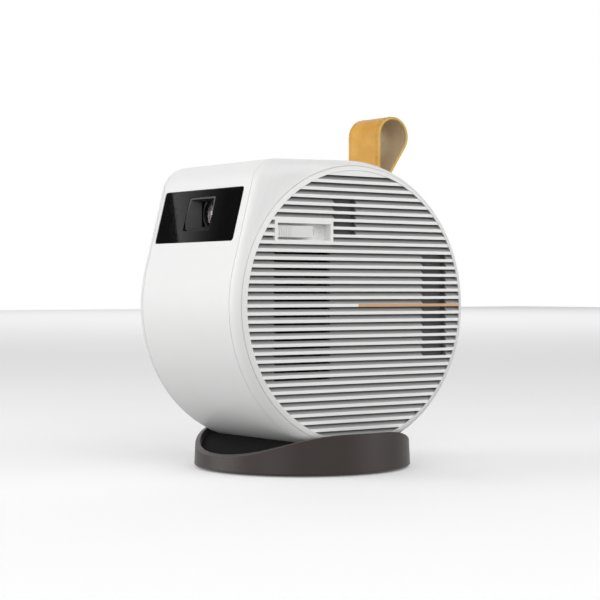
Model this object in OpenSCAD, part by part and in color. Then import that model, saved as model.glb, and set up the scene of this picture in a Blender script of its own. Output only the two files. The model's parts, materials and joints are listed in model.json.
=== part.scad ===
// Home projector: a drum-shaped body that tilts in a magnetic cradle base.
// +Z is up, the lens faces -Y, and the side with the focus slider faces +X.
// The origin is the centre of the base's underside.

/* [Body] */
// Radius of the drum-shaped body
drum_r = 67; // [66:0.25:68]
// Height of the drum's axis above the table
axis_h = 77; // [77:0.25:79]
// Radius of the rounded front top corner
corner_r = 13.3; // [12:0.1:15]
// Backward lean of the flat front face, in degrees
face_lean = 14.8; // [13:0.1:16]
// Backward rise of the flat top, in degrees
top_rise = 1.4; // [0.5:0.1:2.5]
// Half the width of the centre band, up to the seam with each bezel
seam_x = 36.2; // [35:0.1:37]
// Radius of the bezels' rounded outer edge
edge_r = 7.8; // [7:0.1:8.5]
// Wall thickness of the shells
wall = 2.2; // [2:0.1:2.4]

/* [Side grilles] */
// Outer radius of the round grille
grille_r = 64.15; // [64:0.05:64.2]
// Radius of the grille's slatted field
field_r = 62; // [61:0.1:62.4]
// Distance from one slat to the next
slat_pitch = 3.52; // [3.4:0.01:3.6]
// Height of a slat's front face
slat_h = 1.35; // [1.2:0.05:1.5]
// Number of slats above (and below) the middle one
slat_pairs = 17; // [15:1:17]
// Depth of the groove between two slats
slat_depth = 2.1; // [1.8:0.1:2.3]

/* [Focus slider] */
// Length of the focus slider's window
win_l = 29.5; // [28:0.1:31]
// Height of the focus slider's window
win_h = 7.4; // [7:0.1:8]
// Length of the slider's thumb pad
pad_l = 19.7; // [18:0.1:20]
// Height of the slider's thumb pad
pad_h = 5.2; // [4.8:0.1:5.6]

/* [Lens] */
// Width of the glossy front panel
panel_w = 65.4; // [64:0.1:66]
// Height of the glossy front panel, along the leaning face
panel_h = 25; // [24:0.1:26]
// Sideways place of the lens and its panel
lens_x = -1.6; // [-2:0.1:0]
// Height of the optical axis above the drum's axis
lens_z = 42.3; // [42:0.1:42.6]
// Outer radius of the sliding lens barrel
barrel_r = 9; // [8.8:0.1:9.1]

/* [Base] */
// Radius of the base at the table
base_r = 51.7; // [51:0.1:53]
// Height of the base's two side cheeks
base_h = 19; // [18:0.1:19.5]
// Height that the rim's wave falls towards, at the front and the back
rim_low = 6.5; // [5.5:0.1:8]

/* [Strap] */
// Width of the carrying strap
strap_w = 24; // [22:0.5:25]
// Thickness of the strap
strap_t = 1.5; // [1.3:0.1:2]
// Radius of the strap's rounded top, to its outer face
loop_r = 9.5; // [8:0.1:10.5]

/* [Hidden] */
$fn = 96;

// The body's outline in the Y-Z plane: a round drum with one rounded corner.
front_a = 180 - face_lean;
top_a = 90 + top_rise;
half_a = (front_a - top_a) / 2;
corner_d = (drum_r - corner_r) / cos(half_a);
corner_y = corner_d * cos(front_a - half_a);
corner_z = corner_d * sin(front_a - half_a);

// Bezel and grille depths along X.
arc_x = seam_x - 0.2;
seam_gap = 0.3;
face_x = 43;
groove_x = face_x - slat_depth;
panel_x = groove_x - 1.5;
ring_x = 38.2;
plate_in = 39.6;
bezel_t = 2.6;
lip_in = 4.6;
lip_top = 2.85;
lip_out = 1.8;
arc_steps = 96;
flat_steps = 8;
corner_steps = 12;
face_steps = 10;
fit = 0.15;
mid_z = 0.2;
vent_rows = [-7, 6];
upper_rows = [9, 13];
sound_rows = [-9, 7];
vent_y = [39.1, 54.2];
upper_y = [-13.9, -0.9];
sound_y = [-46.4, -15.2];
slit_h = 1;
screen_t = 0.9;

// The focus window and its slider.
win_y = -45.5;
win_z = 29.6;
win_frame = 1.5;
win_sill = 1.9;
win_head = 2.2;
well_d = 5;
pad_y = win_y + 0.3;
pad_z = win_z + (win_h - pad_h) / 2;
arm_y = -36.5;
arm_w = 6;
arm_z = 32.4;
arm_h = 1.8;
arm_x = 36.4;
focus_travel = 8;

// The leaning front face: its lower end and the panel's place on it.
face_y = drum_r * cos(front_a);
face_z = drum_r * sin(front_a);
panel_v = 12.5;
mouth_w = 22;
mouth_h = 15.7;
mouth_r = 1.2;
flange_t = 1.2;
flange_in = 7.4;

// Lens parts along Y.
nose_y = -51;
step_y = -46.5;
barrel_end = -6;
hood_end = -47.8;
hood_l = 20;
hood_wall = 1.4;
hood_inset = 0.5;
throat_y = -51.5;
throat = [14.5, 11];
flare_y = -62;
flare = [25.3, 17.4];
run = 0.05;

// Inner parts.
shelf_t = 2.4;
shelf_hi = 26.2;
shelf_lo = -36;
shelf_x = 31;
shelf_y = -55;
speaker_y = -32;
speaker_z = -6;
speaker_r = 20;
fan_y = 36;
fan_x = 27;
fan_t = 10;
fan_half = 20;
fan_bore = 18.8;
cell_r = 9.2;
cell_l = 65;
cell_z = -46.5;
cell_gap = 20.5;
board_x = -33.4;
board_t = 1.6;

// The control panel on the ports side.
ctl_y = 25;
ctl_z = -6;
ctl_l = 50;
ctl_h = 40;
ctl_x = -43.2;
ctl_t = 2;
key_z = 5;
key_r = 4;
key_pitch = 11;
key_y = 8.5;
hdmi = [12, -10];
usb = [31, -10];
audio = [44.5, -10];
dc = [12, -19.5];

// The base.
floor_z = 1.2;
cup_floor = 2.4;
cup_in = 48.3;
rim_in = 49.5;
dish_drop = 2.6;
wave_reach = 58;
wave_power = 1.75;
wave_steps = 24;
body_gap = 0.45;
weight_t = 2;
screw_x = 30;
screw_y = 18;

// The strap.
strap_y = 37.5;
strap_z = 82.9;
strap_root = 46.5;
strap_foot = 57;
strap_steps = 40;
slot_gap = 0.4;

// Puts shapes drawn in the Y-Z plane, with depth along X, in place on the drum's axis.
module side() {
    translate([0, 0, axis_h]) rotate([90, 0, 90]) children();
}

// Places shapes drawn relative to the drum's axis.
module drum() {
    translate([0, 0, axis_h]) children();
}

// The outline is the envelope of circles that shrink from the drum (f = 0) to the corner (f = 1).
// Each station is such an f with the direction in which its circle is touched.
stations = concat(
    [for (i = [0:arc_steps]) [0, front_a + i * (360 - 2 * half_a) / arc_steps]],
    [for (i = [1:flat_steps - 1]) [i / flat_steps, top_a]],
    [for (i = [0:corner_steps]) [1, top_a + i * 2 * half_a / corner_steps]],
    [for (i = [1:flat_steps - 1]) [1 - i / flat_steps, front_a]]);

// The outline's point at a station, moved inwards by inset.
function rim_point(s, inset = 0) =
    s[0] * [corner_y, corner_z]
    + (drum_r + s[0] * (corner_r - drum_r) - inset) * [cos(s[1]), sin(s[1])];

// The outline as a ring between two insets.
module ring(inset1, inset2) {
    n = len(stations);
    polygon(points = [for (inset = [inset1, inset2], s = stations) rim_point(s, inset)],
        paths = [[for (i = [0:n - 1]) i], [for (i = [0:n - 1]) n + i]]);
}

// A rounded rectangle of width w and height h around the origin.
module rounded(w, h, r) {
    square([w - 2 * r, h], center = true);
    square([w, h - 2 * r], center = true);
    for (x = [-1, 1], y = [-1, 1])
        translate([x * (w / 2 - r), y * (h / 2 - r)]) circle(r = r);
}

// A cylinder of radius r from x1 to x2 along X, around the point (y, z).
module x_rod(r, x1, x2, y, z) {
    translate([x1, y, z]) rotate([0, 90, 0]) cylinder(r = r, h = x2 - x1);
}

// A cylinder of radius r from y1 to y2 along Y, around the point (x, z).
module y_rod(r, y1, y2, x, z) {
    translate([x, y1, z]) rotate([-90, 0, 0]) cylinder(r = r, h = y2 - y1);
}

// A box between two opposite corners.
module box(low, high) {
    translate(low) cube(high - low);
}

// ---- Base ----

// Height of the base's rim at a distance y in front of or behind its middle.
function rim_height(y) =
    rim_low + (base_h - rim_low) * (1 + cos(180 * pow(abs(y) / wave_reach, wave_power))) / 2;

// Everything that lies more than drop below the rim's wave.
module under_rim(drop) {
    reach = base_r + 1;
    rotate([90, 0, 90]) translate([0, 0, -reach]) linear_extrude(2 * reach)
        polygon(concat([[reach, -1], [-reach, -1]],
            [for (i = [-wave_steps:wave_steps]) let (y = reach * i / wave_steps)
                [y, rim_height(y) - drop]]));
}

module base_cup() {
    color("#5c504d") difference() {
        intersection() {
            rotate_extrude() polygon([[0, floor_z], [45.3, floor_z], [45.3, 0.5], [base_r - 1.1, 0.5],
                [base_r, 1.5], [base_r - 0.9, base_h + 1], [rim_in, base_h + 1],
                [cup_in, floor_z + cup_floor], [0, floor_z + cup_floor]]);
            under_rim(0);
        }
        for (x = [-1, 1], y = [-1, 1]) translate([x * screw_x, y * screw_y, 0]) {
            cylinder(r = 2.9, h = floor_z + 1.4);
            cylinder(r = 1.6, h = 10);
        }
    }
}

module base_pad() {
    color("#2b2828") cylinder(r = 45, h = floor_z);
}

module base_weight() {
    z1 = floor_z + cup_floor;
    color("#8d9093") difference() {
        box([-37, -26, z1], [37, 26, z1 + weight_t]);
        for (x = [-1, 1], y = [-1, 1]) translate([x * screw_x, y * screw_y, 0]) cylinder(r = 1.6, h = 20);
    }
}

module base_saddle() {
    z1 = floor_z + cup_floor + weight_t;
    color("#2f2b2b") difference() {
        intersection() {
            translate([0, 0, z1]) cylinder(r = cup_in - fit, h = base_h);
            under_rim(dish_drop);
        }
        x_rod(drum_r + body_gap, -60, 60, 0, axis_h);
        for (y = [-1, 1]) translate([0, y * 19, z1]) cube([32.4, 10.4, 8.2], center = true);
        for (x = [-1, 1], y = [-1, 1])
            translate([x * screw_x, y * screw_y, 0]) cylinder(r = 1.55, h = 8.8);
    }
}

module base_magnets() {
    z1 = floor_z + cup_floor + weight_t;
    color("#b9bbbd") for (y = [-1, 1]) translate([-16, y * 19 - 5, z1]) cube([32, 10, 4]);
}

module base_screws() {
    color("#3a3a3c") for (x = [-1, 1], y = [-1, 1]) translate([x * screw_x, y * screw_y, floor_z]) {
        difference() {
            cylinder(r = 2.75, h = 1.3);
            cylinder(r = 1.2, h = 0.8, $fn = 6);
        }
        translate([0, 0, 1.3]) cylinder(r = 1.5, h = 6);
    }
}

// ---- Outer shell ----

// The rounded hole that the front panel fills, as a prism along the face's normal.
module face_prism(w, h, r, d1, d2) {
    translate([0, face_y, face_z]) rotate([90 - face_lean, 0, 0])
        translate([lens_x, panel_v + panel_h / 2, -d2]) linear_extrude(d2 - d1) rounded(w, h, r);
}

// The level hole in front of the lens.
module mouth(y1, y2) {
    translate([lens_x, y2, lens_z]) rotate([90, 0, 0]) linear_extrude(y2 - y1)
        rounded(mouth_w, mouth_h, mouth_r);
}

module band() {
    color("#f2f2f0") difference() {
        union() {
            side() translate([0, 0, -seam_x]) linear_extrude(2 * seam_x) ring(0, wall);
            for (m = [0, 1]) mirror([m, 0, 0]) side() {
                translate([0, 0, seam_x - 5]) linear_extrude(4.8) ring(wall - 0.2, lip_in);
                translate([0, 0, seam_x - 1]) linear_extrude(1 + lip_out) ring(lip_top, lip_in);
            }
        }
        drum() face_prism(panel_w + 2 * fit, panel_h + 2 * fit, 1.6, -5, 8);
        drum() box([-strap_w / 2 - slot_gap, strap_y - slot_gap, 45],
            [strap_w / 2 + slot_gap, strap_y + 2 * strap_t + slot_gap, 62]);
    }
}

// How far a point lies inside the outline.
function depth_in(p) =
    let (c = [corner_y, corner_z], a = atan2(p.y - c.y, p.x - c.x))
    a > top_a && a < front_a ? corner_r - norm(p - c) :
    let (b = atan2(p.y, p.x))
    b > top_a && b < front_a
        ? drum_r - max(p * [cos(top_a), sin(top_a)], p * [cos(front_a), sin(front_a)])
        : drum_r - norm(p);

// Height along X of the rounded edge at a depth inside the outline.
function edge_x(d) = arc_x + sqrt(edge_r * edge_r - pow(edge_r - min(max(d, 0), edge_r), 2));

// A bezel's closed section at a station: the rounded face, then the underside.
function bezel_section(s) =
    let (p = rim_point(s), bore = grille_r + fit, q = bore * p / norm(p), x0 = seam_x + seam_gap,
        dip = edge_x(depth_in(q)) - edge_x(drum_r - bore), under = rim_point(s, bezel_t))
    concat(
        [for (i = [0:face_steps]) let (w = pow(i / face_steps, 1.5), r = p + w * (q - p))
            [max(edge_x(depth_in(r)) - dip * w * w * (3 - 2 * w), x0), r.x, r.y]],
        [[plate_in, q.x, q.y], [plate_in, under.x, under.y], [x0, under.x, under.y]]);

// One bezel, on the +X side.
module bezel() {
    rows = [for (s = stations) bezel_section(s)];
    m = len(rows[0]);
    n = len(rows);
    drum() polyhedron(points = [for (row = rows) each row],
        faces = [for (i = [0:n - 1], k = [0:m - 1], half = [0, 1])
            let (a = i * m + k, b = i * m + (k + 1) % m,
                c = ((i + 1) % n) * m + (k + 1) % m, d = ((i + 1) % n) * m + k)
            half == 0 ? [a, b, c] : [a, c, d]]);
}

module bezel_focus() {
    color("#f2f2f0") bezel();
}

module bezel_ports() {
    color("#f2f2f0") mirror([1, 0, 0]) bezel();
}

// Height of slat k's middle, counted from the middle slat.
function slat_z(k) = mid_z + k * slat_pitch;

// The slatted plate: level slats with grooves that deepen under each slat.
module louvres() {
    steps = [for (k = [-slat_pairs:slat_pairs])
        each [[groove_x, slat_z(k) - slat_h / 2], [face_x, slat_z(k) - slat_h / 2],
            [face_x, slat_z(k) + slat_h / 2]]];
    intersection() {
        translate([0, field_r + 1, 0]) rotate([90, 0, 0]) linear_extrude(2 * field_r + 2)
            polygon(concat([[panel_x, field_r + 1], [panel_x, -field_r - 1], [face_x, -field_r - 1]],
                steps, [[face_x, field_r + 1]]));
        x_rod(field_r + 0.4, panel_x - 1, face_x + 1, 0, 0);
    }
}

// The rim that holds the louvres and carries on the bezel's rounding.
module grille_rim() {
    rotate([90, 0, 90]) rotate_extrude() intersection() {
        translate([drum_r - edge_r, arc_x]) circle(r = edge_r);
        translate([field_r, ring_x]) square([grille_r - field_r, 10]);
    }
}

// Slits under the slats in front of the speaker.
module sound_slits() {
    for (k = [sound_rows[0]:sound_rows[1]])
        box([panel_x - 1, sound_y[0], slat_z(k) - slat_h / 2 - slit_h],
            [face_x - 0.1, sound_y[1], slat_z(k) - slat_h / 2]);
}

// Full-height openings between the slats, from y1 to y2.
module vent(rows, y1, y2) {
    for (k = [rows[0]:rows[1]])
        box([panel_x - 1, y1, slat_z(k) + slat_h / 2], [face_x + 1, y2, slat_z(k + 1) - slat_h / 2]);
}

module grille_focus() {
    w1 = [win_y - win_frame, win_z - win_sill];
    w2 = [win_y + win_l + win_frame, win_z + win_h + win_head];
    color("#f4f4f2") drum() difference() {
        union() {
            louvres();
            grille_rim();
            box([face_x - well_d - 1.4, w1[0], w1[1]], [face_x + 0.1, w2[0], w2[1]]);
        }
        sound_slits();
        vent(vent_rows, vent_y[0], vent_y[1]);
        vent(upper_rows, upper_y[0], upper_y[1]);
        box([face_x - well_d, win_y, win_z], [face_x + 2, win_y + win_l, win_z + win_h]);
        box([face_x - well_d - 3, arm_y - 0.5, arm_z - 0.4],
            [face_x, arm_y + arm_w + focus_travel + 0.5, arm_z + arm_h + 0.4]);
        box([face_x - 0.9, 0.2, mid_z - slat_h / 2], [face_x + 1, field_r - 0.2, mid_z + slat_h / 2]);
    }
}

module grille_ports() {
    color("#f4f4f2") drum() mirror([1, 0, 0]) difference() {
        union() {
            louvres();
            grille_rim();
        }
        sound_slits();
        translate([30, ctl_y, ctl_z]) rotate([90, 0, 90]) linear_extrude(30)
            rounded(ctl_l + 2 * fit, ctl_h + 2 * fit, 3 + fit);
    }
}

// Filter screens behind the two groups of vents.
module dust_screens() {
    lap = 1.5;
    x2 = panel_x - 0.1;
    color("#4a4a4c") drum() {
        box([x2 - screen_t, vent_y[0] - lap, slat_z(vent_rows[0]) - lap],
            [x2, vent_y[1] + lap, slat_z(vent_rows[1] + 1) + lap]);
        box([x2 - screen_t, upper_y[0] + 0.6, slat_z(upper_rows[0])],
            [x2, upper_y[1] + lap, slat_z(upper_rows[1] + 1) + lap]);
    }
}

module accent_slat() {
    color("#c98f5a") drum() box([face_x - 0.9, 0.3, mid_z - slat_h / 2],
        [face_x + 0.05, field_r - 0.4, mid_z + slat_h / 2]);
}

// ---- Lens and focus ----

module lens_panel() {
    color("#0d0d0f") drum() difference() {
        union() {
            face_prism(panel_w, panel_h, 1.45, 0.25, wall + fit);
            face_prism(panel_w - flange_in, panel_h + 4, 2, wall + fit, wall + fit + flange_t);
        }
        mouth(-70, -40);
    }
}

// Everything behind a plane that lies a depth inside the leaning front face.
module behind_face(depth) {
    reach = 40;
    translate([0, face_y, face_z]) rotate([90 - face_lean, 0, 0])
        translate([-reach, -reach / 2, -depth - reach]) cube([2 * reach, 2 * reach, reach]);
}

// The light's way out: a tunnel that widens from the throat to the flare.
module light_way() {
    y2 = throat_y + 0.1;
    intersection() {
        translate([lens_x, 0, lens_z - flare[1]]) linear_extrude(2 * flare[1])
            polygon([[-flare[0] / 2, flare_y], [flare[0] / 2, flare_y],
                [throat[0] / 2, y2], [-throat[0] / 2, y2]]);
        translate([lens_x - flare[0], 0, lens_z]) rotate([90, 0, 90]) linear_extrude(2 * flare[0])
            polygon([[flare_y, -flare[1] / 2], [flare_y, flare[1] / 2],
                [y2, throat[1] / 2], [y2, -throat[1] / 2]]);
    }
}

// A block along Y around the optical axis, ending at y2.
module lens_block(w, h, r, y2) {
    translate([lens_x, y2, lens_z]) rotate([90, 0, 0]) linear_extrude(hood_l) rounded(w, h, r);
}

module lens_hood() {
    color("#1c1c1f") drum() difference() {
        union() {
            intersection() {
                lens_block(mouth_w + 2 * hood_wall, mouth_h + 2 * hood_wall, mouth_r + hood_wall, hood_end);
                behind_face(wall + fit + flange_t);
            }
            intersection() {
                lens_block(mouth_w - 2 * fit, mouth_h - 2 * fit, mouth_r - fit, throat_y);
                behind_face(hood_inset);
            }
        }
        light_way();
        mouth(throat_y, -40);
    }
}

module lens_barrel() {
    color("#26262a") drum() difference() {
        union() {
            y_rod(7.4, nose_y, step_y, lens_x, lens_z);
            y_rod(barrel_r, step_y, barrel_end, lens_x, lens_z);
        }
        y_rod(6.4, nose_y - 1, barrel_end + 1, lens_x, lens_z);
        y_rod(7.6, step_y + 1.5, barrel_end + 1, lens_x, lens_z);
    }
}

// A lens of radius r and thickness t with a domed front of radius dome, its crown at y.
module lens_element(r, t, dome, y) {
    intersection() {
        y_rod(r, y, y + t, lens_x, lens_z);
        translate([lens_x, y + dome, lens_z]) sphere(r = dome);
    }
}

module lens_front() {
    color("#9fb4c8") drum() lens_element(6.35, 3.8, 12, nose_y - 0.2);
}

module lens_rear() {
    color("#9fb4c8") drum() lens_element(7.55, 4, 20, -13);
}

module focus_carrier() {
    color("#3b3d40") drum() difference() {
        union() {
            y_rod(10.8, arm_y, arm_y + arm_w, lens_x, lens_z);
            box([4, arm_y, arm_z], [arm_x, arm_y + arm_w, arm_z + arm_h]);
        }
        y_rod(barrel_r, arm_y - 1, arm_y + arm_w + 1, lens_x, lens_z);
    }
}

module focus_knob() {
    grip = pad_l * 0.39;
    rib_pitch = 1.1;
    color("#e9e9e7") drum() {
        box([arm_x, arm_y, arm_z], [face_x - 2.4, arm_y + arm_w, arm_z + arm_h]);
        translate([0, pad_y, pad_z]) linear_extrude(pad_h) polygon([[face_x - 2.4, 0],
            [face_x - 1.2, 0], [face_x + 0.1, grip], [face_x + 0.1, pad_l - 0.7],
            [face_x - 0.6, pad_l], [face_x - 2.4, pad_l]]);
        for (k = [0:6]) translate([0, pad_y + 0.3 + k * rib_pitch, pad_z + 0.3])
            box([face_x - 2, 0, 0], [face_x - 0.95 + k * 0.19, 0.45, pad_h - 0.6]);
    }
}

module lens_mount() {
    color("#54575a") drum() difference() {
        union() {
            y_rod(11.5, -45, -37.5, lens_x, lens_z);
            y_rod(11.5, -21, -13, lens_x, lens_z);
            box([-14, -45, shelf_hi + shelf_t], [11, -37.5, 34]);
            box([-14, -21, shelf_hi + shelf_t], [11, -13, 34]);
            box([-14, -45, shelf_hi + shelf_t], [11, 26, 31]);
        }
        y_rod(barrel_r + run, -60, 0, lens_x, lens_z);
    }
}

module optical_engine() {
    color("#3a3c3f") drum() difference() {
        box([-22, 4, 31], [12, 26, 54]);
        y_rod(7, 0, 9, lens_x, lens_z);
        box([-18, 9, 33.5], [8, 22, 51.5]);
    }
}

module dmd_board() {
    color("#1f5a3c") drum() union() {
        box([-18, 26, 33], [10, 27.6, 52]);
        box([-9, 27.6, 36], [3, 28.4, 48]);
    }
}

module dmd_heatsink() {
    color("#b9bcbf") drum() union() {
        box([-12, 28.4, 35], [6, 30.2, 49]);
        for (k = [0:6]) box([-12 + k * 2.8, 30.2, 35], [-10.8 + k * 2.8, 35, 49]);
    }
}

module led_red() {
    color("#c47a45") drum() box([-30, 8, 36], [-22, 20, 50]);
}

module led_green() {
    color("#c47a45") drum() difference() {
        box([12, 7, 36], [20, 19, 50]);
        translate([16, 13, 30]) cylinder(r = 3.05, h = 30);
    }
}

module led_blue() {
    color("#c47a45") drum() box([-11, 8, 54], [1, 20, 58]);
}

module heat_pipe() {
    pipe_r = 3;
    bend_r = 6;
    color("#c87f4e") drum() {
        translate([16, 13, 8 + bend_r]) cylinder(r = pipe_r, h = 48.5 - 8 - bend_r);
        translate([16, 13 + bend_r, 8 + bend_r]) rotate([0, -90, 0]) rotate([0, 0, 180])
            rotate_extrude(angle = 90) translate([bend_r, 0]) circle(r = pipe_r);
        y_rod(pipe_r, 13 + bend_r, 53, 16, 8);
    }
}

module main_heatsink() {
    fins = 10;
    color("#b4b7ba") drum() difference() {
        union() {
            box([4, 20, -17], [6, 54, 17]);
            for (k = [0:fins - 1]) box([6, 20 + k * 3.6, -17], [26, 20.8 + k * 3.6, 17]);
        }
        y_rod(3.05, 10, 60, 16, 8);
    }
}

// ---- Fan ----

module fan_frame() {
    c = fan_half - 3;
    color("#2c2d30") drum() difference() {
        union() {
            difference() {
                box([fan_x, fan_y - fan_half, -fan_half], [fan_x + fan_t, fan_y + fan_half, fan_half]);
                x_rod(fan_bore, fan_x - 1, fan_x + fan_t + 1, fan_y, 0);
            }
            x_rod(8.5, fan_x + fan_t - 1.4, fan_x + fan_t, fan_y, 0);
            for (a = [30, 150, 270]) translate([fan_x + fan_t - 1.4, fan_y, 0]) rotate([a, 0, 0])
                box([0, -1.2, 7], [1.4, 1.2, fan_bore + 0.6]);
        }
        x_rod(1.04, fan_x, fan_x + fan_t + 1, fan_y, 0);
        for (y = [-c, c], z = [-c, c]) x_rod(1.4, fan_x - 1, fan_x + fan_t + 1, fan_y + y, z);
    }
}

module fan_screws() {
    c = fan_half - 3;
    color("#9a9da0") drum() for (y = [-c, c], z = [-c, c]) {
        x_rod(1.3, fan_x - 1, fan_x + fan_t, fan_y + y, z);
        x_rod(2.3, fan_x + fan_t, fan_x + fan_t + 1.2, fan_y + y, z);
    }
}

module fan_rotor() {
    blades = 9;
    color("#1b1c1e") drum() {
        x_rod(8, fan_x + 0.4, fan_x + fan_t - 2, fan_y, 0);
        x_rod(1, fan_x + fan_t - 2.5, fan_x + fan_t - 0.2, fan_y, 0);
        intersection() {
            for (k = [0:blades - 1]) translate([fan_x + fan_t / 2 - 0.6, fan_y, 0])
                rotate([k * 360 / blades, 0, 0]) rotate([0, 0, 42])
                    box([-4.6, -0.45, 7], [4.6, 0.45, 19]);
            x_rod(18, fan_x + 0.6, fan_x + fan_t - 1.8, fan_y, 0);
        }
    }
}

// ---- Speakers, one on each side ----

module both_sides() {
    children();
    mirror([1, 0, 0]) children();
}

module speaker_frame() {
    color("#232427") drum() both_sides() translate([0, speaker_y, speaker_z])
        rotate([90, 0, 90]) rotate_extrude() polygon([[10, 24], [12, 24], [speaker_r - 1.6, 35.5],
            [speaker_r, 35.5], [speaker_r, 37.5], [speaker_r - 3, 37.5], [speaker_r - 3, 36.2],
            [10, 26.2]]);
}

module speaker_cone() {
    color("#111214") drum() both_sides() translate([0, speaker_y, speaker_z])
        rotate([90, 0, 90]) rotate_extrude() polygon([[0, 31.8], [5, 31], [speaker_r - 3.6, 37.6],
            [speaker_r - 3.3, 36.9], [5.4, 30], [5, 26.4], [4.4, 26.4], [4.4, 30], [0, 30.9]]);
}

module speaker_magnet() {
    color("#4a4c50") drum() both_sides() translate([0, speaker_y, speaker_z])
        rotate([90, 0, 90]) {
            translate([0, 0, 18]) cylinder(r = 11, h = 6);
            translate([0, 0, 24]) cylinder(r = 3.9, h = 5);
        }
}

// ---- Power ----

module battery_cells() {
    color("#3f6fa8") drum() for (k = [-1:1]) {
        x_rod(cell_r, -cell_l / 2, cell_l / 2 - 1, k * cell_gap, cell_z);
        x_rod(3, cell_l / 2 - 1, cell_l / 2, k * cell_gap, cell_z);
    }
}

module battery_tray() {
    color("#2a2b2d") drum() difference() {
        intersection() {
            box([-28, -31, -64], [28, 31, cell_z - 1]);
            x_rod(drum_r - wall - 1.8, -28, 28, 0, 0);
        }
        for (k = [-1:1]) x_rod(cell_r + run, -40, 40, k * cell_gap, cell_z);
    }
}

module steel_strip() {
    color("#8d9093") side() rotate([0, 0, -112]) rotate_extrude(angle = 44)
        translate([drum_r - wall - 1.55, -15]) square([1.5, 30]);
}

// ---- Inner frame ----

module chassis() {
    color("#45484c") drum() difference() {
        union() {
            intersection() {
                union() {
                    box([-shelf_x, shelf_y, shelf_hi], [shelf_x, 80, shelf_hi + shelf_t]);
                    box([-shelf_x, shelf_y, shelf_lo], [shelf_x, 80, shelf_lo + shelf_t]);
                }
                x_rod(drum_r - wall - fit, -shelf_x, shelf_x, 0, 0);
            }
            box([-28, -10, shelf_lo + 1], [28, -8, shelf_hi + 1]);
        }
        translate([16, 13, 20]) cylinder(r = 3.6, h = 20);
    }
}

// ---- Electronics ----

module main_board() {
    color("#1f5a3c") drum() difference() {
        box([board_x, -4, -30], [board_x + board_t, 52, 22]);
        for (y = [0, 48], z = [-26, 18]) x_rod(1.4, board_x - 1, board_x + 3, y, z);
    }
}

module board_screws() {
    color("#9a9da0") drum() for (y = [0, 48], z = [-26, 18]) {
        x_rod(1.3, board_x, board_x + 5, y, z);
        x_rod(2.3, board_x - 1.3, board_x, y, z);
    }
}

module board_chips() {
    x1 = board_x + board_t;
    color("#17181a") drum() {
        box([x1, 8, -20], [x1 + 1.4, 24, -4]);
        box([x1, 30, -16], [x1 + 1.2, 40, -8]);
        box([x1, 30, 2], [x1 + 3.5, 38, 10]);
        box([x1, 10, 4], [x1 + 1, 20, 9]);
        for (y = [4, 26, 44]) x_rod(3, x1, x1 + 7, y, -22 + y / 4);
    }
}

// Places a shape drawn in the Y-Z plane so that it grows from depth x towards +X.
module on_panel(x, y, z) {
    translate([x, y, z]) rotate([90, 0, 90]) children();
}

module control_panel() {
    color("#2a2b2e") drum() difference() {
        on_panel(ctl_x, ctl_y, ctl_z) linear_extrude(ctl_t) rounded(ctl_l, ctl_h, 3);
        for (k = [0:3]) x_rod(key_r + 0.35, -50, -30, key_y + k * key_pitch, key_z);
        on_panel(-50, hdmi[0], hdmi[1]) linear_extrude(20) square([15.6, 6.2], center = true);
        on_panel(-50, usb[0], usb[1]) linear_extrude(20) square([13.7, 6.5], center = true);
        x_rod(3.6, -50, -30, audio[0], audio[1]);
        x_rod(4.3, -50, -30, dc[0], dc[1]);
    }
}

// A box socket, open towards -X, with an opening of w by h.
module socket(w, h, at) {
    t = 0.5;
    difference() {
        on_panel(-42.8, at[0], at[1]) linear_extrude(board_x + 42.8)
            square([w + 2 * t, h + 2 * t], center = true);
        on_panel(-44, at[0], at[1]) linear_extrude(board_x + 43.2) square([w, h], center = true);
    }
}

module hdmi_socket() {
    color("#c9cbcd") drum() socket(14.2, 4.7, hdmi);
}

module usb_socket() {
    color("#c9cbcd") drum() socket(12.5, 5.2, usb);
}

module dc_jack() {
    color("#1a1a1c") drum() difference() {
        x_rod(4, -42.9, board_x, dc[0], dc[1]);
        x_rod(2.85, -44, board_x - 0.8, dc[0], dc[1]);
    }
}

module audio_jack() {
    color("#1a1a1c") drum() difference() {
        x_rod(3.3, -42.9, board_x, audio[0], audio[1]);
        x_rod(1.85, -44, board_x - 0.8, audio[0], audio[1]);
    }
}

module tact_switches() {
    color("#8f9295") drum() for (k = [0:3]) {
        box([board_x - 1.8, key_y + k * key_pitch - 3, key_z - 3],
            [board_x, key_y + k * key_pitch + 3, key_z + 3]);
        x_rod(1.7, board_x - 2.4, board_x - 1.8, key_y + k * key_pitch, key_z);
    }
}

// Key number k, counted from the front.
module key(k) {
    y = key_y + k * key_pitch;
    color("#d8d8d6") drum() union() {
        x_rod(key_r, ctl_x - 0.7, ctl_x + 3.3, y, key_z);
        x_rod(key_r + 1, ctl_x + ctl_t + 0.35, ctl_x + 3.3, y, key_z);
        x_rod(1.5, ctl_x + 3.3, board_x - 3.5, y, key_z);
    }
}

module key_power() {
    key(0);
}

module key_source() {
    key(1);
}

module key_minus() {
    key(2);
}

module key_plus() {
    key(3);
}

// ---- Strap ----

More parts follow.
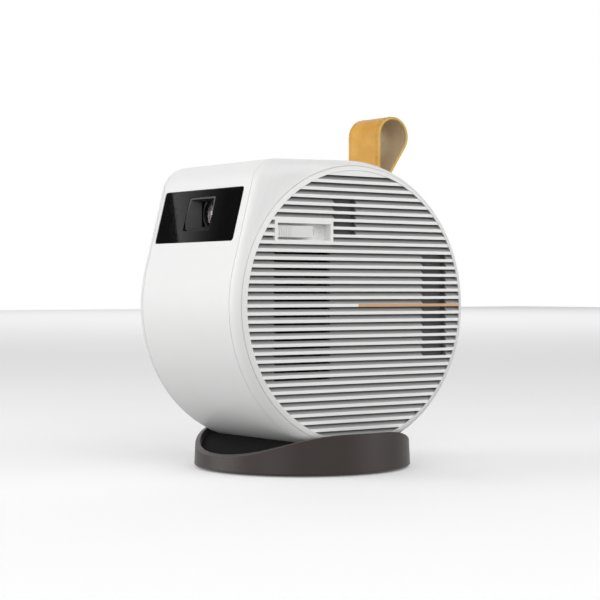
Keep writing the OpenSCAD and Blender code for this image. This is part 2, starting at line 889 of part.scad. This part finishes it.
// The strap's outline seen from the side: a teardrop loop whose two ends meet at the foot.
module strap_outline() {
    inner_r = loop_r - strap_t;
    mid_r = loop_r - strap_t / 2;
    centre = [strap_y + loop_r, strap_z];
    foot = [strap_y + 1.5 * strap_t, strap_foot];
    reach = norm(centre - foot);
    slant = atan((centre.x - foot.x) / (centre.y - foot.y)) + asin(mid_r / reach);
    leg = sqrt(reach * reach - mid_r * mid_r) * [sin(slant), cos(slant)];
    sweep = [for (i = [0:strap_steps]) 180 - i * (180 + slant) / strap_steps];
    tip = [cos(-slant), sin(-slant)];
    outer = concat([[strap_y, strap_root]], [for (a = sweep) centre + loop_r * [cos(a), sin(a)]],
        [centre + loop_r * tip - leg, [strap_y + 2 * strap_t, strap_foot - strap_t],
            [strap_y + 2 * strap_t, strap_root]]);
    inner = concat([for (a = sweep) centre + inner_r * [cos(a), sin(a)]],
        [centre + inner_r * tip - leg]);
    n = len(outer);
    polygon(points = concat(outer, inner),
        paths = [[for (i = [0:n - 1]) i], [for (i = [0:len(inner) - 1]) n + i]]);
}

module strap() {
    color("#dca24a") side() translate([0, 0, -strap_w / 2]) linear_extrude(strap_w) strap_outline();
}

module strap_bar() {
    color("#6f7276") drum() difference() {
        box([-15, strap_y - 2.3, 42], [15, 42.6, 48]);
        box([-strap_w / 2 - 0.1, strap_y - 0.05, strap_root],
            [strap_w / 2 + 0.1, strap_y + 2 * strap_t + 0.05, 60]);
    }
}

base_cup();
base_pad();
base_weight();
base_magnets();
base_saddle();
base_screws();
band();
bezel_focus();
bezel_ports();
grille_focus();
grille_ports();
accent_slat();
lens_panel();
lens_hood();
strap();
strap_bar();
steel_strip();
chassis();
dust_screens();
lens_barrel();
lens_front();
lens_rear();
focus_carrier();
focus_knob();
lens_mount();
optical_engine();
dmd_board();
dmd_heatsink();
led_red();
led_green();
led_blue();
heat_pipe();
main_heatsink();
fan_frame();
fan_screws();
fan_rotor();
speaker_frame();
speaker_cone();
speaker_magnet();
battery_cells();
battery_tray();
main_board();
board_screws();
board_chips();
control_panel();
hdmi_socket();
usb_socket();
dc_jack();
audio_jack();
tact_switches();
key_power();
key_source();
key_minus();
key_plus();
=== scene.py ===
"""Home projector: looks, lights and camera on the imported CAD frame."""
import json
import math

import bmesh
import bpy
from mathutils import Matrix, Vector


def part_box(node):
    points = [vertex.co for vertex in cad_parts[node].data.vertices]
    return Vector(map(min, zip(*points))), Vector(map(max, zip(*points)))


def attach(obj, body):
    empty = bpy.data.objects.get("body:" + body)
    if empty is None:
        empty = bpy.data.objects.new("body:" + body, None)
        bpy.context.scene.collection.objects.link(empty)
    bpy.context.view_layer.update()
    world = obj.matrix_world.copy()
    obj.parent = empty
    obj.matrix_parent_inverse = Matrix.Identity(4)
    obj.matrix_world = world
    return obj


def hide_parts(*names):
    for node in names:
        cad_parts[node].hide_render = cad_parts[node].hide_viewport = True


MM = 0.001
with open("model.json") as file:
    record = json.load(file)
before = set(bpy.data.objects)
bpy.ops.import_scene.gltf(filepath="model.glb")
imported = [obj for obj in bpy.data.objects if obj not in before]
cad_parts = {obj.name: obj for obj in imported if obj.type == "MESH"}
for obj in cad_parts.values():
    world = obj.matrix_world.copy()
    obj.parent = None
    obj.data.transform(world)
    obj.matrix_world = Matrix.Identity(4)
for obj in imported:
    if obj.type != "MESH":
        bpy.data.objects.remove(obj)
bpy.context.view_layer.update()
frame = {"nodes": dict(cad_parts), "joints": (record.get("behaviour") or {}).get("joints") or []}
nodes = frame["nodes"]

# ---- Driving places: the drum's axis taken from the frame, the others given ----

AXIS_Z = frame["joints"][0]["pos_m"][2]  # height of the drum's axis
# FACE_X, GROOVE_X, FIELD_R and WINDOW place the grille's painted groove shade
FACE_X = 43 * MM  # the slats' faces
GROOVE_X = 40.9 * MM  # the bottom of the grooves
FIELD_R = 62.1 * MM  # the slatted field's edge
WINDOW = (-30.75 * MM, AXIS_Z + 33.45 * MM, 16.3 * MM, 5.85 * MM)  # centre y, z and half sizes


# ---- Node and mesh helpers ----

class Graph:
    """A short way to write a material's node tree."""

    def __init__(self, name):
        self.mat = bpy.data.materials.new(name)
        self.mat.use_nodes = True
        self.tree = self.mat.node_tree
        self.tree.nodes.clear()
        self.out = self.tree.nodes.new("ShaderNodeOutputMaterial")
        self.bsdf = self.add("ShaderNodeBsdfPrincipled")
        self.link(self.bsdf.outputs[0], self.out.inputs["Surface"])
        self.coords = self.add("ShaderNodeTexCoord").outputs["Object"]

    def add(self, kind, **values):
        node = self.tree.nodes.new(kind)
        for key, value in values.items():
            setattr(node, key, value)
        return node

    def link(self, a, b):
        self.tree.links.new(a, b)

    def set(self, **values):
        for key, value in values.items():
            self.bsdf.inputs[key.replace("_", " ")].default_value = value
        return self

    @classmethod
    def of(cls, mat):
        """The same short writing for a material that is already made."""
        g = cls.__new__(cls)
        g.mat, g.tree = mat, mat.node_tree
        g.bsdf = next(n for n in g.tree.nodes if n.type == "BSDF_PRINCIPLED")
        g.coords = next(n for n in g.tree.nodes if n.type == "TEX_COORD").outputs["Object"]
        return g

    def split(self):
        node = self.add("ShaderNodeSeparateXYZ")
        self.link(self.coords, node.inputs[0])
        return node.outputs[0], node.outputs[1], node.outputs[2]

    def math(self, operation, *values):
        node = self.add("ShaderNodeMath", operation=operation)
        for socket, value in zip(node.inputs, values):
            if isinstance(value, (int, float)):
                socket.default_value = value
            else:
                self.link(value, socket)
        return node.outputs[0]

    def mix(self, factor, a, b):
        node = self.add("ShaderNodeMix", data_type="RGBA")
        self.link(factor, node.inputs["Factor"])
        self.link(a, node.inputs["A"])
        self.link(b, node.inputs["B"])
        return node.outputs["Result"]

    def noise(self, scale, detail=2.0, rough=0.5):
        node = self.add("ShaderNodeTexNoise")
        node.inputs["Scale"].default_value = scale
        node.inputs["Detail"].default_value = detail
        node.inputs["Roughness"].default_value = rough
        self.link(self.coords, node.inputs["Vector"])
        return node.outputs["Fac"]

    def ramp(self, fac, stops):
        node = self.add("ShaderNodeValToRGB")
        ramp = node.color_ramp
        while len(ramp.elements) < len(stops):
            ramp.elements.new(0.5)
        for element, (at, colour) in zip(ramp.elements, stops):
            element.position = at
            element.color = (*colour, 1.0)
        self.link(fac, node.inputs["Fac"])
        return node.outputs["Color"]

    def range(self, fac, low, high, a=0.0, b=1.0):
        node = self.add("ShaderNodeMapRange")
        node.inputs["From Min"].default_value = a
        node.inputs["From Max"].default_value = b
        node.inputs["To Min"].default_value = low
        node.inputs["To Max"].default_value = high
        self.link(fac, node.inputs["Value"])
        return node.outputs["Result"]

    def bump(self, height, strength, distance, under=None):
        node = self.add("ShaderNodeBump")
        node.inputs["Strength"].default_value = strength
        node.inputs["Distance"].default_value = distance
        self.link(height, node.inputs["Height"])
        if under is not None:
            self.link(under, node.inputs["Normal"])
        return node.outputs["Normal"]

    def soften(self, radius):
        node = self.add("ShaderNodeBevel", samples=4)
        node.inputs["Radius"].default_value = radius
        return node.outputs["Normal"]

    def normal(self, socket):
        self.link(socket, self.bsdf.inputs["Normal"])

    def colour(self, socket):
        self.link(socket, self.bsdf.inputs["Base Color"])

    def rough(self, socket):
        self.link(socket, self.bsdf.inputs["Roughness"])


def hexed(text):
    """A hex colour as linear RGB."""
    parts = [int(text[i:i + 2], 16) / 255 for i in (1, 3, 5)]
    return tuple(c / 12.92 if c <= 0.04045 else ((c + 0.055) / 1.055) ** 2.4 for c in parts)


def plastic(name, colour, rough=0.45, grain=0.02, edge=0.15 * MM, spread=0.04, **extra):
    """Moulded plastic: faint colour variation, fine spark-eroded grain and soft edges."""
    g = Graph(name)
    dark = tuple(c * (1 - spread) for c in colour)
    g.colour(g.ramp(g.noise(60, 3), [(0.35, dark), (0.65, colour)]))
    g.rough(g.range(g.noise(900, 2), rough - 0.05, rough + 0.05, 0.3, 0.7))
    g.normal(g.bump(g.noise(4200, 2), grain, 0.05 * MM, g.soften(edge)))
    g.set(**extra)
    return g.mat


def metal(name, colour, rough):
    """Bare metal with uneven polish and soft edges."""
    g = Graph(name)
    dark = tuple(c * 0.8 for c in colour)
    g.colour(g.ramp(g.noise(300, 4), [(0.3, dark), (0.7, colour)]))
    g.rough(g.range(g.noise(700, 3), rough - 0.08, rough + 0.1, 0.3, 0.7))
    g.normal(g.bump(g.noise(1500, 3), 0.06, 0.05 * MM, g.soften(0.1 * MM)))
    g.set(Metallic=1.0)
    return g.mat


def paint(node, material):
    """Gives a CAD node its material."""
    obj = nodes[node]
    obj.data.materials.clear()
    obj.data.materials.append(material)


def grille_plastic_painted_shade(name, colour, stops):
    """White plastic whose grooves are painted darker by their depth: painted shade in the grooves.

    Only the slatted field gets the painted shade: its rim and the focus slider's window stay white.
    """
    mat = plastic(name, colour, rough=0.4, grain=0.04, spread=0.01)
    g = Graph.of(mat)
    x, y, z = g.split()
    depth = g.range(g.math("ABSOLUTE", x), 0.0, 1.0, GROOVE_X, FACE_X)
    # painted shade: the groove colour darkens with depth below the slat faces
    groove_painted_shade = g.ramp(depth, stops)
    from_axis = g.math("SUBTRACT", z, AXIS_Z)
    radius = g.math("POWER", g.math("ADD", g.math("POWER", y, 2), g.math("POWER", from_axis, 2)), 0.5)
    field = g.math("LESS_THAN", radius, FIELD_R)
    off_y = g.math("ABSOLUTE", g.math("SUBTRACT", y, WINDOW[0]))
    off_z = g.math("ABSOLUTE", g.math("SUBTRACT", z, WINDOW[1]))
    within_y = g.math("LESS_THAN", off_y, WINDOW[2])
    within_z = g.math("LESS_THAN", off_z, WINDOW[3])
    window = g.math("MULTIPLY", g.math("MULTIPLY", within_y, within_z), g.math("GREATER_THAN", x, 0.0))
    shade = g.math("MULTIPLY", field, g.math("SUBTRACT", 1.0, window))
    face = g.bsdf.inputs["Base Color"].links[0].from_socket
    g.colour(g.mix(shade, face, groove_painted_shade))
    return mat


WHITE = plastic("white_shell", (0.86, 0.86, 0.855), rough=0.42, grain=0.05, spread=0.01)
# the stops are painted shade: darkest at the groove bottom, light at the slat faces
GRILLE_PAINTED_SHADE = grille_plastic_painted_shade("white_grille_painted_shade", (0.88, 0.88, 0.87), [
    (0.0, (0.17, 0.17, 0.175)), (0.4, (0.25, 0.25, 0.25)), (0.93, (0.43, 0.43, 0.43)),
    (0.97, (0.88, 0.88, 0.87))])
PAD = plastic("slider_white", (0.76, 0.76, 0.755), rough=0.45, grain=0.05, spread=0.01)
BLACK = plastic("black_plastic", (0.02, 0.02, 0.022), rough=0.5, grain=0.08)
TAUPE = plastic("taupe_base", hexed("#352b29"), rough=0.42, grain=0.12, edge=0.4 * MM,
                Sheen_Weight=0.25, Sheen_Roughness=0.35)
RUBBER = plastic("dark_rubber", (0.01, 0.0095, 0.0095), rough=0.75, grain=0.2,
                 Specular_IOR_Level=0.12)
SCREEN = plastic("filter_foam", (0.2, 0.2, 0.205), rough=0.9, grain=0.6, spread=0.3)
GLOSS = plastic("gloss_black", (0.004, 0.004, 0.0045), rough=0.03, grain=0.0)
HOOD = plastic("hood_black", (0.035, 0.035, 0.037), rough=0.35, grain=0.05)
GREY = plastic("frame_grey", (0.06, 0.062, 0.066), rough=0.5, grain=0.1)
KEY = plastic("key_grey", (0.6, 0.6, 0.59), rough=0.4)
BOARD = plastic("solder_mask", (0.01, 0.12, 0.05), rough=0.3)
WRAP = plastic("cell_wrap", (0.04, 0.12, 0.4), rough=0.25)
COPPER_PAINT = plastic("copper_accent", hexed("#d6a577"), rough=0.35, grain=0.02)
STEEL = metal("steel", (0.55, 0.56, 0.57), 0.35)
ALUMINIUM = metal("aluminium", (0.75, 0.76, 0.77), 0.4)
COPPER = metal("copper", (0.8, 0.42, 0.25), 0.35)
CAST = metal("die_cast", (0.16, 0.165, 0.17), 0.5)
BARREL = plastic("barrel_black", (0.012, 0.012, 0.013), rough=0.45)


def glass(name, tint, coating):
    """Clear glass whose thin coating varies in tint, with a faint polishing haze."""
    g = Graph(name)
    g.colour(g.ramp(g.noise(110, 2), [(0.35, tint), (0.65, coating)]))
    g.rough(g.range(g.noise(600, 2), 0.015, 0.04, 0.3, 0.7))
    g.set(IOR=1.6, Transmission_Weight=1.0)
    return g.mat


LENS = glass("lens_glass", (0.86, 0.86, 0.92), (0.92, 0.72, 0.78))


def leather(name, colour, dark, light, grain_scale=1400, rough=0.5, pull=0.25):
    """Leather: broad tone changes, pebble grain with darker creases, and fine pores."""
    g = Graph(name)
    broad = g.ramp(g.noise(70, 4, 0.6), [(0.3, dark), (0.52, colour), (0.75, light)])
    cells = g.add("ShaderNodeTexVoronoi", feature="DISTANCE_TO_EDGE")
    cells.inputs["Scale"].default_value = grain_scale
    g.link(g.coords, cells.inputs["Vector"])
    crease = g.range(cells.outputs["Distance"], 0.86, 1.0, 0.0, 0.12)
    mix = g.add("ShaderNodeMix", data_type="RGBA", blend_type="MULTIPLY")
    mix.inputs["Factor"].default_value = 1.0
    g.link(broad, mix.inputs["A"])
    g.link(crease, mix.inputs["B"])
    g.colour(mix.outputs["Result"])
    g.rough(g.range(g.noise(500, 3), rough - 0.08, rough + 0.1, 0.3, 0.7))
    pores = g.bump(g.noise(5200, 3), 0.1, 0.05 * MM)
    g.normal(g.bump(crease, pull, 0.06 * MM, pores))
    g.set(Sheen_Weight=0.04, Sheen_Roughness=0.5)
    return g.mat


LEATHER = leather("mustard_leather", hexed("#d9a034"), hexed("#cd9228"), hexed("#e3af44"))
LINING = leather("suede_lining", hexed("#ccb796"), hexed("#bea988"), hexed("#d8c3a3"), 2600, 0.85, 0.15)
EDGE = leather("edge_paint", hexed("#d9b254"), hexed("#cfa645"), hexed("#e3be66"), 900, 0.35, 0.05)
THREAD = leather("mustard_thread", hexed("#d39a42"), hexed("#c68c36"), hexed("#dda650"), 3000, 0.6, 0.3)
LINING_THREAD = leather("taupe_thread", hexed("#c4ac8a"), hexed("#b89f7d"), hexed("#cfb998"), 3000, 0.6, 0.3)

FINISH = {
    TAUPE: ["base_cup"],
    RUBBER: ["base_pad", "base_saddle"],
    SCREEN: ["dust_screens"],
    WHITE: ["band", "bezel_focus", "bezel_ports"],
    PAD: ["focus_knob"],
    GRILLE_PAINTED_SHADE: ["grille_focus", "grille_ports"],
    COPPER_PAINT: ["accent_slat"],
    GLOSS: ["lens_panel"],
    HOOD: ["lens_hood"],
    LENS: ["lens_front", "lens_rear"],
    BARREL: ["lens_barrel"],
    CAST: ["lens_mount", "optical_engine", "focus_carrier"],
    GREY: ["chassis", "control_panel"],
    KEY: ["key_power", "key_source", "key_minus", "key_plus"],
    BOARD: ["dmd_board", "main_board"],
    WRAP: ["battery_cells"],
    COPPER: ["led_red", "led_green", "led_blue", "heat_pipe"],
    ALUMINIUM: ["dmd_heatsink", "main_heatsink"],
    STEEL: ["base_weight", "base_magnets", "base_screws", "strap_bar", "steel_strip", "fan_screws",
            "speaker_magnet", "board_screws", "tact_switches", "hdmi_socket", "usb_socket"],
    BLACK: ["fan_frame", "fan_rotor", "speaker_frame", "speaker_cone", "battery_tray", "board_chips",
            "dc_jack", "audio_jack"],
}
for material, names in FINISH.items():
    for name in names:
        paint(name, material)


# ---- Smooth shading of the CAD nodes ----

SHARP_ANGLE = math.radians(28)
MERGE_GAP = 0.002 * MM


def smoothing_group():
    """Geometry nodes that join a CAD mesh's faces and shade them smooth up to a sharp angle."""
    group = bpy.data.node_groups.new("cad_smoothing", "GeometryNodeTree")
    group.interface.new_socket("Geometry", in_out="INPUT", socket_type="NodeSocketGeometry")
    group.interface.new_socket("Geometry", in_out="OUTPUT", socket_type="NodeSocketGeometry")
    add = group.nodes.new
    merge = add("GeometryNodeMergeByDistance")
    merge.inputs["Distance"].default_value = MERGE_GAP
    faces = add("GeometryNodeSetShadeSmooth")
    edges = add("GeometryNodeSetShadeSmooth")
    edges.domain = "EDGE"
    edges.inputs["Shade Smooth"].default_value = False
    angle = add("GeometryNodeInputMeshEdgeAngle")
    sharp = add("FunctionNodeCompare")
    sharp.inputs["B"].default_value = SHARP_ANGLE
    start, end = add("NodeGroupInput"), add("NodeGroupOutput")
    link = group.links.new
    link(start.outputs[0], merge.inputs["Geometry"])
    link(merge.outputs["Geometry"], faces.inputs["Geometry"])
    link(faces.outputs["Geometry"], edges.inputs["Geometry"])
    link(angle.outputs["Unsigned Angle"], sharp.inputs["A"])
    link(sharp.outputs["Result"], edges.inputs["Selection"])
    link(edges.outputs["Geometry"], end.inputs[0])
    return group


def smooth_cad():
    group = smoothing_group()
    for obj in nodes.values():
        if "custom_normal" in obj.data.attributes:
            obj.data.attributes.remove(obj.data.attributes["custom_normal"])
        obj.modifiers.new("smoothing", "NODES").node_group = group


smooth_cad()


# ---- Strap ----

STRAP_LOW, STRAP_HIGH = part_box("strap")
STRAP_T = 1.5 * MM
STRAP_EDGE = 0.6 * MM
LOOP_R = 9.5 * MM
FOOT_RISE = 10.5 * MM  # from the strap's lowest point to where its two ends meet
STRAP_STEPS = 36
EDGE_GROOVE = 0.14 * MM  # between the painted edge and each face
STITCH_PITCH = 2.6 * MM
STITCH_R = 0.16 * MM
SEAM_INSET = 1.9 * MM


def leather_piece(name, mesh, body, *materials):
    """A leather piece that rides on a body."""
    obj = bpy.data.objects.new(name, mesh)
    for material in materials:
        mesh.materials.append(material)
    bpy.context.scene.collection.objects.link(obj)
    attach(obj, body)
    return obj


def strap_path():
    """Points and outward normals of the strap's middle line in the Y-Z plane, from foot to foot."""
    y0, z0 = STRAP_LOW[1], STRAP_LOW[2]
    mid = LOOP_R - STRAP_T / 2
    centre = Vector((y0 + LOOP_R, STRAP_HIGH[2] - LOOP_R))
    foot = Vector((y0 + 1.5 * STRAP_T, z0 + FOOT_RISE))
    reach = (centre - foot).length
    slant = math.atan2(centre.x - foot.x, centre.y - foot.y) + math.asin(mid / reach)
    leg = math.sqrt(reach ** 2 - mid ** 2)
    tip = Vector((math.cos(slant), -math.sin(slant)))
    down = Vector((-math.sin(slant), -math.cos(slant)))
    path = []
    steps = STRAP_STEPS
    rise = centre.y - z0
    for i in range(steps):
        path.append((Vector((y0 + STRAP_T / 2, z0 + rise * i / steps)), Vector((-1, 0))))
    for i in range(2 * steps + 1):
        a = math.pi - (math.pi + slant) * i / (2 * steps)
        out = Vector((math.cos(a), math.sin(a)))
        path.append((centre + mid * out, out))
    for i in range(1, steps + 1):
        path.append((centre + mid * tip + leg * i / steps * down, tip))
    path.append((Vector((foot.x, z0)), Vector((1, 0))))
    return path


def strap_section():
    """The strap's rounded cross-section as (x, out) points, with each stretch's material."""
    half = (STRAP_HIGH[0] - STRAP_LOW[0]) / 2
    t = STRAP_T / 2
    flat = half - STRAP_EDGE
    across = 14
    turn = 8
    points = []
    for i in range(across + 1):
        points.append((-flat + 2 * flat * i / across, t, 0))
    for i in range(1, turn):
        a = math.pi / 2 - math.pi * i / turn
        points.append((flat + STRAP_EDGE * math.cos(a), t * math.sin(a), 1))
    for i in range(across + 1):
        points.append((flat - 2 * flat * i / across, -t, 2))
    for i in range(1, turn):
        a = -math.pi / 2 - math.pi * i / turn
        points.append((-flat + STRAP_EDGE * math.cos(a), t * math.sin(a), 1))
    return [(x, d - math.copysign(EDGE_GROOVE, d) if abs(abs(x) - flat) < 1e-9 else d, m)
            for x, d, m in points]


def add_strap():
    section = strap_section()
    path = strap_path()
    count = len(section)
    verts = [(x, p.x + n.x * d, p.y + n.y * d) for p, n in path for x, d, _ in section]
    faces = [(i * count + k, i * count + (k + 1) % count,
              (i + 1) * count + (k + 1) % count, (i + 1) * count + k)
             for i in range(len(path) - 1) for k in range(count)]
    last = (len(path) - 1) * count
    caps = [tuple(reversed(range(count))), tuple(range(last, last + count))]
    mesh = bpy.data.meshes.new("carrying_strap")
    mesh.from_pydata(verts, [], faces + caps)
    zones = [1 if 1 in (section[k][2], section[(k + 1) % count][2]) else section[k][2]
             for k in range(count)]
    for index, face in enumerate(mesh.polygons):
        face.material_index = zones[index % count] if index < len(faces) else 1
        face.use_smooth = index < len(faces)
    bm = bmesh.new()
    bm.from_mesh(mesh)
    bmesh.ops.recalc_face_normals(bm, faces=bm.faces)
    bm.to_mesh(mesh)
    bm.free()
    strap = leather_piece("carrying_strap", mesh, "projector", LEATHER, EDGE, LINING)
    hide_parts("strap")
    return path


def walk(path, pitch, start, end):
    """Points and normals at an even pitch along a path, between two distances from its start."""
    travelled = 0.0
    at = start
    for (p, n), (q, m) in zip(path, path[1:]):
        length = (q - p).length
        while length > 0 and at < min(travelled + length, end):
            f = (at - travelled) / length
            yield p.lerp(q, f), n.lerp(m, f).normalized(), (q - p) / length
            at += pitch
        travelled += length


def add_stitches(name, path, face, thread):
    """Two rows of thread on one face (1 outside, -1 inside), one short rounded stitch at a time."""
    bm = bmesh.new()
    shape = Matrix.Diagonal((STITCH_PITCH * 0.4, STITCH_R, STITCH_R * 1.4, 1))
    half = (STRAP_HIGH[0] - STRAP_LOW[0]) / 2 - SEAM_INSET
    total = sum((q[0] - p[0]).length for p, q in zip(path, path[1:]))
    for point, normal, along in walk(path, STITCH_PITCH, 10 * MM, total - 12 * MM):
        run = Vector((0, *along))
        out = Vector((0, *normal)) * face
        turn = Matrix((run, out, run.cross(out))).transposed().to_4x4()
        for x in (-half, half):
            centre = Vector((x, *point)) + out * STRAP_T / 2
            bmesh.ops.create_uvsphere(bm, u_segments=8, v_segments=6, radius=1,
                                      matrix=Matrix.Translation(centre) @ turn @ shape)
    mesh = bpy.data.meshes.new(name)
    bm.to_mesh(mesh)
    bm.free()
    mesh.shade_smooth()
    leather_piece(name, mesh, "projector", thread)


STRAP_PATH = add_strap()
add_stitches("stitching_outside", STRAP_PATH, 1, THREAD)
add_stitches("stitching_inside", STRAP_PATH, -1, LINING_THREAD)


# ---- Stage, lights and camera ----

AZIMUTH = math.radians(53.4)
ELEVATION = math.radians(0.3)
DISTANCE = 0.779
ASIDE, ABOVE = -1.05 * MM, 2.5 * MM  # how far the camera is shifted from the drum's axis
FOCAL_LENGTH = 97.4  # for a 36 mm sensor
CENTRE = Vector((0, 0, AXIS_Z))
FLOOR_BEHIND = Vector((-3.6, 2.7, 0))  # the floor behind the object, where its lamp aims
WORLD_RANGE = (-0.4, 0.9, 0.44, 0.34)  # heights from and to, and the strength at each
FLOOR_GLOW = 0.2  # the same everywhere, so that only the lights shade the floor
FLOOR_HALF = 6  # half the floor's side, in metres
FACE_LEAN = math.radians(14.8)
FACE_FOOT = Vector((0, -64.7, 94.1))  # the leaning face's lower end, in millimetres
CARD_STEPS = 8
CARD_FADE = 1.6  # the power by which the lit card fades
CARD_TOP = 40  # places on the face are (across, up along it), in millimetres
CARD_LEFT, CARD_RIGHT = -30.5, 18  # the lit card's edges at its top
CARD_SLANT = 0.6  # how far its left edge moves aside for each step down


def look_from(azimuth, elevation, distance, target, aside=0.0, up=0.0):
    """Where a camera stands and how it turns to look at target."""
    view = Vector((-math.sin(azimuth) * math.cos(elevation), math.cos(azimuth) * math.cos(elevation),
                   -math.sin(elevation)))
    right = Vector((math.cos(azimuth), math.sin(azimuth), 0))
    top = right.cross(view)
    turn = Matrix((right, top, -view)).transposed()
    place = Vector(target) - view * distance + right * aside + top * up
    return Matrix.Translation(place) @ turn.to_4x4()


def add_camera():
    data = bpy.data.cameras.new("camera")
    data.lens = FOCAL_LENGTH
    data.sensor_width = 36
    data.clip_start = 0.01
    camera = bpy.data.objects.new("camera", data)
    camera.matrix_world = look_from(AZIMUTH, ELEVATION, DISTANCE, CENTRE, ASIDE, ABOVE)
    bpy.context.scene.collection.objects.link(camera)
    bpy.context.scene.camera = camera


def add_light(name, azimuth, elevation, distance, size, power, target=CENTRE):
    """A soft box that faces a target from an azimuth (0 is the lens side) and an elevation."""
    a, e = math.radians(azimuth), math.radians(elevation)
    away = Vector((math.sin(a) * math.cos(e), -math.cos(a) * math.cos(e), math.sin(e)))
    data = bpy.data.lights.new(name, "AREA")
    data.shape = "RECTANGLE"
    data.size, data.size_y = size
    data.energy = power
    light = bpy.data.objects.new(name, data)
    place = Matrix.Translation(target + away * distance)
    light.matrix_world = place @ away.to_track_quat("Z", "Y").to_matrix().to_4x4()
    light.visible_camera = False
    bpy.context.scene.collection.objects.link(light)
    return light


def add_stage():
    mesh = bpy.data.meshes.new("floor")
    corners = [(-1, -1), (1, -1), (1, 1), (-1, 1)]
    mesh.from_pydata([(FLOOR_HALF * x, FLOOR_HALF * y, 0) for x, y in corners], [], [(0, 1, 2, 3)])
    floor = bpy.data.objects.new("floor", mesh)
    bpy.context.scene.collection.objects.link(floor)
    g = Graph("pale_floor")
    g.colour(g.ramp(g.noise(3, 2), [(0.0, (0.83, 0.83, 0.83)), (1.0, (0.86, 0.86, 0.86))]))
    g.set(Roughness=0.9, Specular_IOR_Level=0.0)
    g.set(Emission_Color=(1, 1, 1, 1), Emission_Strength=FLOOR_GLOW)
    mesh.materials.append(g.mat)
    floor.visible_diffuse = False
    floor.visible_glossy = False


def add_world():
    """White behind the object for the camera; as a light it is grey, and a little dimmer overhead."""
    world = bpy.data.worlds.new("studio")
    world.use_nodes = True
    tree = world.node_tree
    add, link = tree.nodes.new, tree.links.new
    background = tree.nodes["Background"]
    split = add("ShaderNodeSeparateXYZ")
    link(add("ShaderNodeTexCoord").outputs["Generated"], split.inputs[0])
    height = add("ShaderNodeMapRange")
    for socket, value in zip(("From Min", "From Max", "To Min", "To Max"), WORLD_RANGE):
        height.inputs[socket].default_value = value
    link(split.outputs["Z"], height.inputs["Value"])
    seen = add("ShaderNodeMix")
    link(add("ShaderNodeLightPath").outputs["Is Camera Ray"], seen.inputs["Factor"])
    link(height.outputs["Result"], seen.inputs["A"])
    seen.inputs["B"].default_value = 1.0
    link(seen.outputs["Result"], background.inputs["Strength"])
    background.inputs["Color"].default_value = (1, 1, 1, 1)
    bpy.context.scene.world = world


def panel_point(x, v):
    """A point on the leaning front face, x across and v up along it, in millimetres."""
    up = Vector((0, math.sin(FACE_LEAN), math.cos(FACE_LEAN)))
    return (FACE_FOOT + up * v + Vector((x, 0, 0))) * MM


def card_point(x, v, distance):
    """Where a card has to be for the camera to see it mirrored in the front face at (x, v)."""
    normal = Vector((0, -math.cos(FACE_LEAN), math.sin(FACE_LEAN)))
    point = panel_point(x, v)
    ray = (point - bpy.context.scene.camera.matrix_world.translation).normalized()
    return point + (ray - 2 * ray.dot(normal) * normal) * distance


def add_card(name, rows, distance, glow):
    """A studio card seen only in reflections; each row is (x, v) points, bright at the first column."""
    count = len(rows[0])
    verts = [card_point(x, v, distance) for row in rows for x, v in row]
    faces = [(i * count + k, i * count + k + 1, (i + 1) * count + k + 1, (i + 1) * count + k)
             for i in range(len(rows) - 1) for k in range(count - 1)]
    mesh = bpy.data.meshes.new(name)
    mesh.from_pydata(verts, [], faces)
    fade = mesh.attributes.new("fade", "FLOAT", "POINT")
    for index, value in enumerate(fade.data):
        value.value = (1 - (index % count) / (count - 1)) ** CARD_FADE
    card = bpy.data.objects.new(name, mesh)
    bpy.context.scene.collection.objects.link(card)
    mat = bpy.data.materials.new(name)
    mat.use_nodes = True
    tree = mat.node_tree
    tree.nodes.clear()
    light = tree.nodes.new("ShaderNodeEmission")
    level = tree.nodes.new("ShaderNodeMapRange")
    level.inputs["To Min"].default_value, level.inputs["To Max"].default_value = glow
    source = tree.nodes.new("ShaderNodeAttribute")
    source.attribute_name = "fade"
    out = tree.nodes.new("ShaderNodeOutputMaterial")
    tree.links.new(source.outputs["Fac"], level.inputs["Value"])
    tree.links.new(level.outputs["Result"], light.inputs["Strength"])
    tree.links.new(light.outputs[0], out.inputs["Surface"])
    mesh.materials.append(mat)
    card.visible_camera = False
    card.visible_diffuse = False
    card.visible_shadow = False


def add_cards():
    """A black card behind a lit one with a slanting edge, for the gloss of the front panel."""
    add_card("black_card", [[(-55, v), (55, v)] for v in (-10, 60)], 0.52, (0.03, 0.03))
    rows = []
    for v in (8, 24, CARD_TOP):
        left = CARD_LEFT + (CARD_TOP - v) * CARD_SLANT
        across = CARD_RIGHT - left
        rows.append([(left + across * k / CARD_STEPS, v) for k in range(CARD_STEPS + 1)])
    add_card("lit_card", rows, 0.5, (0.04, 0.8))


# Each light's name, azimuth, elevation, distance, size and power.
LIGHTS = [
    ("overhead", 20, 80, 0.9, (0.9, 0.9), 0.7),
    ("lens_side", -34, 14, 1.1, (0.8, 0.8), 6.0),
    ("front_side", 22, 4, 1.1, (0.7, 0.6), 1.7),
    ("back_side", 132, 16, 1.1, (0.7, 0.8), 3.3),
    ("camera_side", 70, 30, 1.2, (0.9, 0.9), 4.7),
]

add_camera()
add_stage()
add_world()
add_cards()
for light in LIGHTS:
    add_light(*light)
add_light("floor_wash", 0, 90, 2.0, (5, 5), 56, FLOOR_BEHIND)
bpy.context.scene.view_settings.view_transform = "Standard"
